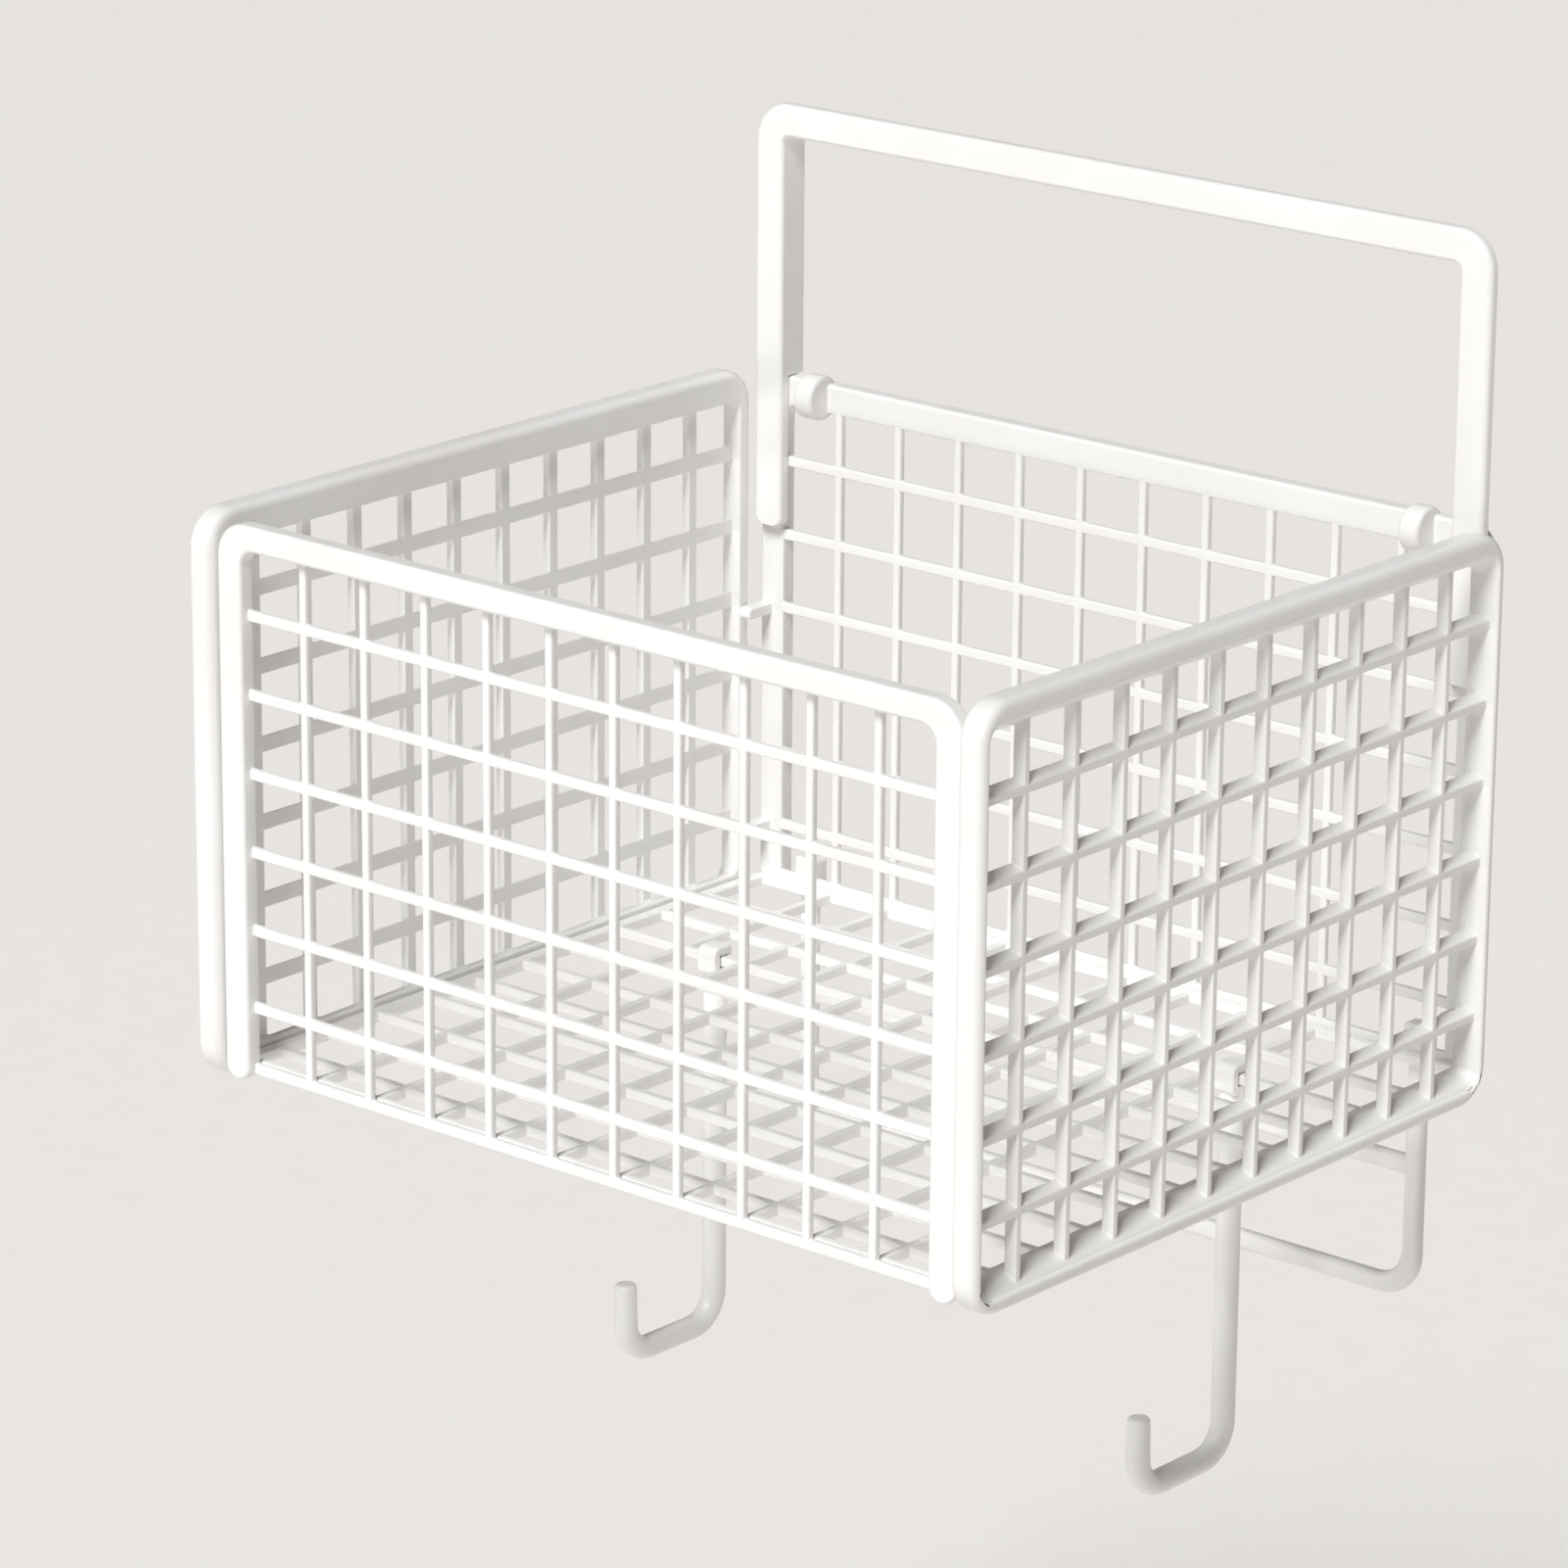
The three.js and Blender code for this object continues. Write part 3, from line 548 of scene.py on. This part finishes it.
def drilled(shell, drills):
    """The shell after the drills have cut their holes into it."""
    blank, tools = (bpy.data.objects.new(name, joined_mesh(name, shells))
                    for name, shells in (("blank", [shell]), ("drills", drills)))
    for thing in (blank, tools):
        bpy.context.scene.collection.objects.link(thing)
    cut = blank.modifiers.new("holes", "BOOLEAN")
    cut.operation = "DIFFERENCE"
    cut.solver = "EXACT"
    cut.object = tools
    result = blank.evaluated_get(bpy.context.evaluated_depsgraph_get()).to_mesh()
    holed = Shell(upright)
    holed.points = [tuple(corner.co / MM) for corner in result.vertices]
    holed.faces = [tuple(face.vertices) for face in result.polygons]
    for thing in (blank, tools):
        bpy.data.objects.remove(thing)
    return holed


def along_x(u, v, w):
    return w, u, v


rivets = [name for name in sorted(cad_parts) if name.startswith("hanger_rivet")]
back_low, back_high = box_mm("back_panel")
BACK_TOP = back_high.z - LUG_RISE
BACK_FACE = SIDE_BACK + BACK_CLEARANCE
BACK_REAR = BACK_FACE + FRAME_THICK
back_arch = arch(FRAME_HALF, back_low.z, BACK_TOP, POST, BACK_RAIL, FRAME_CORNER, FRAME_INNER, FOOT)
back_frame = moulding(back_arch, BACK_FACE, BACK_REAR, FRAME_ROUND, FRAME_ROUND / 2, upright)
drills = []
for name in rivets:
    low, high = box_mm(name)
    step_y = BACK_REAR - RIVET_HEAD_THICK - ROOM
    head = (high.x - low.x) / 2 + ROOM
    shank = RIVET_SHANK + ROOM
    profile = [(shank, BACK_FACE - OVERRUN), (shank, step_y), (head, step_y), (head, BACK_REAR + OVERRUN)]
    drills.append(turned(profile, (low.x + high.x) / 2, (low.z + high.z) / 2))
back_shells = [
    drilled(back_frame, drills),
    flat_grille(*grid_lines(BACK_TOP, BACK_RAIL, BACK_BOTTOM_RAIL), BACK_FACE + SUNK,
                BACK_FACE + GRID_THICK, upright),
]
for side in (-1, 1):
    limb = side * LOOP_LIMB_X
    socket = rectangle(limb - SOCKET_HALF, limb + SOCKET_HALF, RAIL_BOTTOM - SUNK,
                       RAIL_BOTTOM + SOCKET_HEIGHT, SOCKET_CORNER)
    back_shells.append(moulding(socket, BACK_FACE - SUNK, BACK_REAR - SUNK, ARM_ROUND, ARM_ROUND, upright))
    lug = disc(BACK_REAR + ROOM - LUG_DIAMETER / 2, back_high.z - LUG_DIAMETER / 2, LUG_DIAMETER / 2)
    back_shells.append(moulding(lug, side * LUG_X - LUG_WIDTH / 2, side * LUG_X + LUG_WIDTH / 2,
                                LUG_ROUND, LUG_ROUND, along_x))
    for index in ARM_ROWS:
        arm_z = side_rows[index] - ARM_HEIGHT
        arm = rectangle(SIDE_BACK - ARM_REACH, BACK_FACE + ARM_ROOT, arm_z - ARM_HEIGHT / 2,
                        arm_z + ARM_HEIGHT / 2, ARM_CORNER)
        ends = sorted((side * (FRAME_HALF - SUNK), side * (FRAME_HALF - ARM_WIDTH)))
        back_shells.append(moulding(arm, *ends, ARM_ROUND, ARM_ROUND, along_x))
make_piece("back_panel", back_shells, "basket", panel_plastic, GRID_EDGE)

# The floor: a flat polypropylene grid that carries the load. Its bars are in line with the bars of
# the walls around it, and a wider rail along each side snaps into the side panels.
FLOOR_RAIL = 3.4
floor_low, floor_high = box_mm("floor_panel")
us = edges(FLOOR_RAIL - FRAME_HALF, FRAME_HALF - FLOOR_RAIL, columns, BAR / 2, BAR / 2)
vs = edges(floor_low.y + BAR, floor_high.y - BAR, side_bars, BAR / 2, BAR / 2)
floor_grid = flat_grille([-FRAME_HALF] + us + [FRAME_HALF], [floor_low.y] + vs + [floor_high.y],
                         floor_low.z, floor_high.z, lambda u, v, w: (u, v, w))
make_piece("floor_panel", [floor_grid], "basket", panel_plastic, GRID_EDGE)

# The hanger: a stiffer ABS moulding with a gloss of its own, so it shows longer highlights. It is an
# inverted U with an L section, whose lip turns back to the wall along its inner edge, and its two
# flat tongues are riveted to the back panel.
FRAME_WHITE = "#f9f9f8"
FRAME_CREAM = "#f5f4f2"
FRAME_ROUGHNESS = (0.29, 0.4)
FRAME_DIMPLE = 0.03  # mm deep
FRAME_GLOW = 0.04
ABS_IOR = 1.54
frame_plastic = moulded_plastic("gloss_moulded_abs", FRAME_WHITE, FRAME_CREAM, FRAME_ROUGHNESS,
                                FRAME_DIMPLE, FRAME_GLOW, ABS_IOR)
HANGER_FLANGE = 9.2
HANGER_THICK = 3.1
HANGER_LIP = 2.4
HANGER_CORNER = 10.0
HANGER_INNER = 2.2
OUTER_ROUND = 1.5
INNER_ROUND = 1.1
BACK_ROUND = 0.5
TONGUE_CORNER = 2.2
HANGER_STEPS = 14
hanger_low, hanger_high = box_mm("hanger")
HANGER_HALF, HANGER_RISE = hanger_high.x, hanger_high.z
HANGER_DEPTH = hanger_high.y - hanger_low.y
LIP_END = BACK_TOP + ROOM
limb_inner = HANGER_HALF - HANGER_FLANGE

# The section, once round from the front's outer edge. Each point is measured from the outer (0) or
# the inner side (1) and from the front.
section = [(0, inset, down) for inset, down in reversed(quarter(OUTER_ROUND))]
section += [(1, inset, down) for inset, down in quarter(INNER_ROUND)]
section += [(1, inset, HANGER_DEPTH - up) for inset, up in reversed(quarter(BACK_ROUND))]
section += [(1, HANGER_LIP - inset, HANGER_DEPTH - up) for inset, up in quarter(BACK_ROUND)]
section += [(1, HANGER_LIP + out, HANGER_THICK + down) for out, down in reversed(quarter(BACK_ROUND))]
section += [(0, inset, HANGER_THICK - up) for inset, up in quarter(BACK_ROUND)]

# The way of its outer and its inner side, from the right tongue's end to the middle of the top.
tongue_end = [(inset, hanger_low.z + rise) for inset, rise in quarter(TONGUE_CORNER)]
half_way = [((HANGER_HALF - inset, z), (limb_inner + inset, z), False) for inset, z in tongue_end]
limb_levels = ((LIP_END, False), (LIP_END + SUNK, True), (-HANGER_CORNER, True))
half_way += [((HANGER_HALF, z), (limb_inner, z), lipped) for z, lipped in limb_levels]
outer_bend = arc(HANGER_HALF - HANGER_CORNER, HANGER_RISE - HANGER_CORNER, HANGER_CORNER,
                 0, 90, HANGER_STEPS)
inner_bend = arc(limb_inner - HANGER_INNER, -HANGER_INNER, HANGER_INNER, 0, 90, HANGER_STEPS)
half_way += [(outer, inner, True) for outer, inner in zip(outer_bend, inner_bend)]
other_half = [((-outer[0], outer[1]), (-inner[0], inner[1]), lipped)
              for outer, inner, lipped in reversed(half_way)]
hanger_shell = Shell(upright)
rings = []
for *sides, lipped in half_way + other_half:
    outer, inner = (Vector(side) for side in sides)
    inwards = (inner - outer).normalized()
    ring = []
    for from_inner, inset, depth in section:
        at = inner - inwards * inset if from_inner else outer + inwards * inset
        ring += hanger_shell.ring([at], hanger_low.y + (depth if lipped else min(depth, HANGER_THICK)))
    rings.append(ring)
for a, b in zip(rings, rings[1:]):
    hanger_shell.strip(a, b)
hanger_shell.close(rings[0], rings[-1])
make_piece("hanger", [hanger_shell], "basket", frame_plastic)

# The rivets: white nylon push rivets set from the wall side. Each has a low dome in the back panel's
# post, with a small pit where the drive pin went in, and a shank that ends in the hanger's tongue.
# Nylon looks a little creamier and duller than the panels round it.
RIVET_WHITE = "#ece9e2"
RIVET_CREAM = "#e4e0d6"
RIVET_ROUGHNESS = (0.38, 0.5)
RIVET_DIMPLE = 0.03  # mm deep
RIVET_GLOW = 0.08
NYLON_IOR = 1.53
RIVET_TIP = 0.5
DOME_RISE = 0.7
SHOULDER_INSET = 0.25
CROWN_DROP = 0.08
CROWN_SHARE = 0.7  # of the head's radius, as the three shares below are
FLAT_SHARE = 0.45
PIT_SHARE = 0.35
PIT_FLOOR_SHARE = 0.3
PIT_DEPTH = 0.5
nylon = moulded_plastic("moulded_nylon", RIVET_WHITE, RIVET_CREAM, RIVET_ROUGHNESS,
                        RIVET_DIMPLE, RIVET_GLOW, NYLON_IOR)
for name in rivets:
    low, high = box_mm(name)
    head = (high.x - low.x) / 2
    profile = [
        (RIVET_SHANK - RIVET_TIP, low.y),
        (RIVET_SHANK, low.y + RIVET_TIP),
        (RIVET_SHANK, high.y - RIVET_HEAD_THICK),
        (head, high.y - RIVET_HEAD_THICK),
        (head, high.y - DOME_RISE),
        (head - SHOULDER_INSET, high.y - DOME_RISE / 2),
        (head * CROWN_SHARE, high.y - CROWN_DROP),
        (head * FLAT_SHARE, high.y),
        (head * PIT_SHARE, high.y),
        (head * PIT_FLOOR_SHARE, high.y - PIT_DEPTH),
    ]
    rivet = turned(profile, (low.x + high.x) / 2, (low.z + high.z) / 2)
    make_piece(name, [rivet], "basket", nylon)

# The lower loop: one ABS ladder of rounded bars below the basket, where cloths and small hooks hang.
# Its bottom corners are wide, its limbs plug into the back panel and its cross bar lies a little back.
LOOP_BAR = 5.2
LOOP_CROSS_DROP = 25.7
LOOP_CORNER = 11.5
LOOP_INNER = 8.0
LOOP_ROUND = 1.7
CROSS_BACK = 0.15
PLUG_HALF = 1.8
PLUG_HALF_THICK = 1.0
PLUG_CORNER = 0.5
loop_low, loop_high = box_mm("lower_loop")
LOOP_TOP = RAIL_BOTTOM - ROOM
CROSS_TOP = RAIL_BOTTOM - LOOP_CROSS_DROP
LOOP_HALF = loop_high.x
loop_inner = LOOP_HALF - LOOP_BAR
loop_middle = (loop_low.y + loop_high.y) / 2


def loop_outline(inset):
    """The outline of the loop's U, as a function of how far it is drawn in."""
    half, base, inside = LOOP_HALF - inset, loop_low.z + inset, loop_inner + inset
    over = loop_low.z + LOOP_BAR - inset
    outer, inner = LOOP_CORNER - inset, LOOP_INNER + inset
    return (
        arc(-half + outer, base + outer, outer, 180, 270, CORNER_STEPS)
        + arc(half - outer, base + outer, outer, 270, 360, CORNER_STEPS)
        + [(half, LOOP_TOP), (inside, LOOP_TOP)]
        + arc(inside - inner, over + inner, inner, 0, -90, CORNER_STEPS)
        + arc(-inside + inner, over + inner, inner, 270, 180, CORNER_STEPS)
        + [(-inside, LOOP_TOP), (-half, LOOP_TOP)]
    )


cross_bar = rectangle(-loop_inner - EMBED, loop_inner + EMBED, CROSS_TOP - LOOP_BAR, CROSS_TOP,
                      LOOP_ROUND + SUNK)
loop_shells = [
    moulding(loop_outline, loop_low.y, loop_high.y, LOOP_ROUND, LOOP_ROUND, upright),
    moulding(cross_bar, loop_low.y + CROSS_BACK, loop_high.y - CROSS_BACK, LOOP_ROUND, LOOP_ROUND, upright),
]
for side in (-1, 1):
    limb = side * LOOP_LIMB_X
    plug = rectangle(limb - PLUG_HALF, limb + PLUG_HALF, LOOP_TOP - EMBED, loop_high.z, PLUG_CORNER)
    loop_shells.append(moulding(plug, loop_middle - PLUG_HALF_THICK, loop_middle + PLUG_HALF_THICK,
                                PLUG_CORNER / 2, PLUG_CORNER / 2, upright))
make_piece("lower_loop", loop_shells, "basket", frame_plastic)

# The hooks: two equal ABS hooks that slide along their floor bars. Each has a snap jaw round one bar,
# a straight round shank and a J that opens to the front, with a flat tip that is softened at its rim.
HOOK_RADIUS = 3.1
HOOK_BEND = 9.0
HOOK_TIP = 23.0
HOOK_REACH = 34.7
TIP_ROUND = 1.0
TIP_TAPER = 0.2
JAW_WALL = 2.4
JAW_MOUTH = 1.05
JAW_CORNER = 2.2
JAW_LIP = 1.0
JAW_ROUND = 0.6
JAW_STEPS = 6
SHANK_ROOT = 1.0  # mm that the shank reaches into the jaw
BEND_STEPS = 14
FLOOR_MIDDLE = (floor_low.z + floor_high.z) / 2
jaw_room_y = BAR / 2 + ROOM
jaw_room_z = (floor_high.z - floor_low.z) / 2 + ROOM
jaw_out_z = jaw_room_z + JAW_WALL


def bent_rod(route, x):
    """A round rod along a route in Y and Z, whose last end is the hook's tip."""
    shell = Shell(along_x)
    stations = []
    for i, at in enumerate(route):
        way = (Vector(route[min(i + 1, len(route) - 1)]) - Vector(route[max(i - 1, 0)])).normalized()
        stations.append((Vector(at), way, HOOK_RADIUS))
    end, way, _ = stations.pop()
    stations += [(end - way * inset, way, HOOK_RADIUS - TIP_TAPER - down)
                 for down, inset in reversed(quarter(TIP_ROUND))]
    rings = []
    for at, way, radius in stations:
        across = Vector((-way.y, way.x))
        ring = []
        for i in range(TURN_STEPS):
            turn = 2 * math.pi * i / TURN_STEPS
            ring += shell.ring([at + across * radius * math.cos(turn)], x + radius * math.sin(turn))
        rings.append(ring)
    for a, b in zip(rings, rings[1:]):
        shell.strip(a, b)
    shell.close(rings[0], rings[-1])
    return shell


def jaw_outline(bar_y, tip_y):
    """The jaw seen from the side: a C round the floor's bar that opens to the wall."""
    front = bar_y - jaw_room_y - JAW_WALL

    def outline(inset):
        corner, lip = JAW_CORNER - inset, JAW_LIP - inset
        mouth, room = JAW_MOUTH + inset, jaw_room_z + inset
        room_front, room_back = bar_y - jaw_room_y - inset, bar_y + jaw_room_y + inset
        hole = [(tip_y - inset, mouth), (room_back, mouth), (room_back, room), (room_front, room)]
        shape = (
            arc(front + JAW_CORNER, -jaw_out_z + JAW_CORNER, corner, 180, 270, JAW_STEPS)
            + arc(tip_y - JAW_LIP, -jaw_out_z + JAW_LIP, lip, 270, 360, JAW_STEPS)
            + [(y, -z) for y, z in hole] + list(reversed(hole))
            + arc(tip_y - JAW_LIP, jaw_out_z - JAW_LIP, lip, 0, 90, JAW_STEPS)
            + arc(front + JAW_CORNER, jaw_out_z - JAW_CORNER, corner, 90, 180, JAW_STEPS)
        )
        return [(y, FLOOR_MIDDLE + z) for y, z in shape]

    return outline


for name, body in (("hook_left", "left_hook"), ("hook_right", "right_hook")):
    low, high = box_mm(name)
    tip_y = low.y + HOOK_RADIUS
    bar_y = tip_y + HOOK_REACH
    bottom = low.z + HOOK_RADIUS
    jaw = moulding(jaw_outline(bar_y, high.y), low.x, high.x, JAW_ROUND, JAW_ROUND, along_x)
    route = (
        [(bar_y, FLOOR_MIDDLE - jaw_out_z + SHANK_ROOT)]
        + arc(bar_y - HOOK_BEND, bottom + HOOK_BEND, HOOK_BEND, 0, -90, BEND_STEPS)
        + arc(tip_y + HOOK_BEND, bottom + HOOK_BEND, HOOK_BEND, 270, 180, BEND_STEPS)
        + [(tip_y, low.z + HOOK_TIP)]
    )
    make_piece(name, [jaw, bent_rod(route, (low.x + high.x) / 2)], body, frame_plastic)

# The studio floor: matt white paper that runs on past the view, well below the hooks, so that the
# basket hangs clear of it. Faint fibres keep it from being one flat tone.
STUDIO_DROP = 0.3  # metres
PAPER_REACH = 12  # metres
PAPER_WHITE = "#fefdfb"
PAPER_SHADE = "#fbf9f6"
PAPER_ROUGHNESS = 0.9
FIBRE_CLOUD = 12  # mm between the faint clouds of fibre
paper = bpy.data.materials.new("matt_white_paper")
paper.use_nodes = True
tree = paper.node_tree
tree.nodes.clear()
place = add(tree, "ShaderNodeTexCoord", {}, {}).outputs["Object"]
fibres = add(tree, "ShaderNodeTexNoise",
             {"Scale": 1 / (FIBRE_CLOUD * MM), "Detail": 4}, {"Vector": place})
tone = add(tree, "ShaderNodeValToRGB", {}, {"Fac": fibres.outputs["Fac"]})
tone.color_ramp.elements[0].color = linear(PAPER_SHADE)
tone.color_ramp.elements[1].color = linear(PAPER_WHITE)
sheet = add(tree, "ShaderNodeBsdfPrincipled", {"Roughness": PAPER_ROUGHNESS},
            {"Base Color": tone.outputs["Color"]})
add(tree, "ShaderNodeOutputMaterial", {}, {"Surface": sheet.outputs["BSDF"]})
ground_mesh = bpy.data.meshes.new("studio_floor")
ground_z = cad_box[0][2] - STUDIO_DROP
corners = [(x * PAPER_REACH, y * PAPER_REACH, ground_z) for x, y in ((-1, -1), (1, -1), (1, 1), (-1, 1))]
ground_mesh.from_pydata(corners, [], [(0, 1, 2, 3)])
ground_mesh.materials.append(paper)
ground = bpy.data.objects.new("studio_floor", ground_mesh)
bpy.context.scene.collection.objects.link(ground)

# The light: a broad soft light from the front right and above, a low soft panel at the front left for
# the hooks and the left rim, and a dim warm room. The front comes out nearly pure white, the right
# side's upright bars nearly so, and its rows and the inner faces pale grey.
KEY_AZIMUTH = math.radians(14)
KEY_ELEVATION = math.radians(50)
KEY_SPREAD = math.radians(22)
KEY_STRENGTH = 2.95
LOW_PANEL_PLACE = (-1.0, -1.5, -0.3)
LOW_PANEL_AIM = (0, -0.1, -0.2)
LOW_PANEL_SIZE = 0.7  # metres
LOW_PANEL_POWER = 2.8
ROOM_COLOUR = "#f3e8df"
ROOM_STRENGTH = 0.12
world = bpy.data.worlds.new("dim_warm_room")
world.use_nodes = True
world.node_tree.nodes["Background"].inputs["Color"].default_value = linear(ROOM_COLOUR)
world.node_tree.nodes["Background"].inputs["Strength"].default_value = ROOM_STRENGTH
bpy.context.scene.world = world
bpy.context.scene.view_settings.view_transform = "Standard"


def put_light(data, place, aim):
    light = bpy.data.objects.new(data.name, data)
    turn = (Vector(aim) - Vector(place)).to_track_quat("-Z", "Y").to_matrix().to_4x4()
    light.matrix_world = Matrix.Translation(place) @ turn
    bpy.context.scene.collection.objects.link(light)


key = bpy.data.lights.new("broad_key", "SUN")
key.energy = KEY_STRENGTH
key.angle = KEY_SPREAD
put_light(key, (math.sin(KEY_AZIMUTH) * math.cos(KEY_ELEVATION),
                -math.cos(KEY_AZIMUTH) * math.cos(KEY_ELEVATION), math.sin(KEY_ELEVATION)), (0, 0, 0))
low_panel = bpy.data.lights.new("low_front_panel", "AREA")
low_panel.shape = "SQUARE"
low_panel.size = LOW_PANEL_SIZE
low_panel.energy = LOW_PANEL_POWER
put_light(low_panel, LOW_PANEL_PLACE, LOW_PANEL_AIM)

low, high = cad_box
